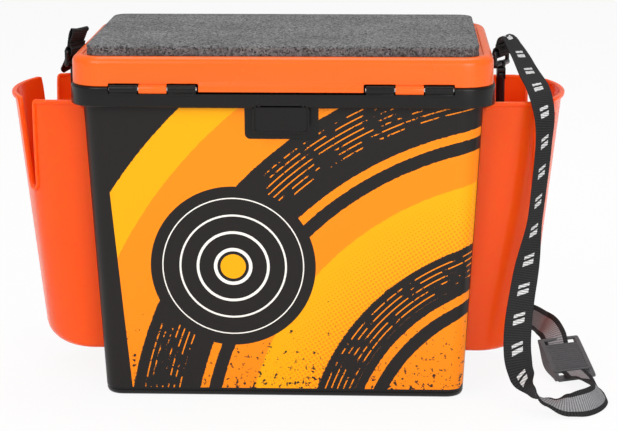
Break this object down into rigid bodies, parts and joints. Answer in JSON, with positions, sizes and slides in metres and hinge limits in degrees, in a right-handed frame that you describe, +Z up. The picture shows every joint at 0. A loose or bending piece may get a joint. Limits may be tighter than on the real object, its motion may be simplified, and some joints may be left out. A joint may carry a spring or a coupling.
{
  "type": "ice fishing box",
  "caption": "Tapered moulded seat box for ice fishing with a padded lid that opens from either long side, hung side pockets and a shoulder strap.",
  "frame": {"origin": "on the floor under the middle of the tub", "axes": "+Z up, +X along the long side, -Y towards the side with the tab"},
  "size_m": [0.563, 0.3644, 0.3281],
  "materials": {
    "shell": "satin",
    "label": "satin",
    "lid": "satin",
    "pocket": "gloss",
    "pad": "matte",
    "rod": "polished",
    "hook": "gloss",
    "webbing": "matte",
    "slider": "matte"
  },
  "bodies": {
    "box": {"body_shell": "shell", "front_label": "label", "hook_left": "hook", "hook_right": "hook", "swivel_eye_left": "hook", "swivel_eye_right": "hook", "strap_end_left": "webbing", "strap_end_right": "webbing", "strap_front": "webbing", "strap_rear": "webbing", "strap_slider": "slider"},
    "front_rods": {"rod_front_left": "rod", "rod_front_right": "rod"},
    "lid": {"lid_shell": "lid", "seat_pad": "pad", "rod_rear_left": "rod", "rod_rear_right": "rod"},
    "left_pocket": {"pocket_left": "pocket"},
    "right_pocket": {"pocket_right": "pocket"},
    "left_gate": {"hook_gate_left": "hook"},
    "right_gate": {"hook_gate_right": "hook"}
  },
  "joints": [
    {"name": "lid_front_lift", "type": "hinge", "parent": "box", "child": "front_rods", "pos_m": [0, 0.121, 0.2903], "axis": [-1, 0, 0], "range_deg": [0, 95]},
    {"name": "lid_rear_lift", "type": "hinge", "parent": "front_rods", "child": "lid", "pos_m": [0, -0.121, 0.2903], "axis": [1, 0, 0], "range_deg": [0, 95]},
    {"name": "pocket_left_lift", "type": "slide", "parent": "box", "child": "left_pocket", "axis": [-0.866, 0, 0.5], "range_m": [0, 0.03]},
    {"name": "pocket_right_lift", "type": "slide", "parent": "box", "child": "right_pocket", "axis": [0.866, 0, 0.5], "range_m": [0, 0.03]},
    {"name": "gate_left_swing", "type": "hinge", "parent": "box", "child": "left_gate", "pos_m": [-0.1995, 0.0065, 0.286], "axis": [-1, 0, 0], "range_deg": [0, 16], "stiffness_Nm_per_rad": 0.05, "springref_deg": -5.73},
    {"name": "gate_right_swing", "type": "hinge", "parent": "box", "child": "right_gate", "pos_m": [0.1995, -0.0065, 0.286], "axis": [1, 0, 0], "range_deg": [0, 16], "stiffness_Nm_per_rad": 0.05, "springref_deg": -5.73}
  ]
}
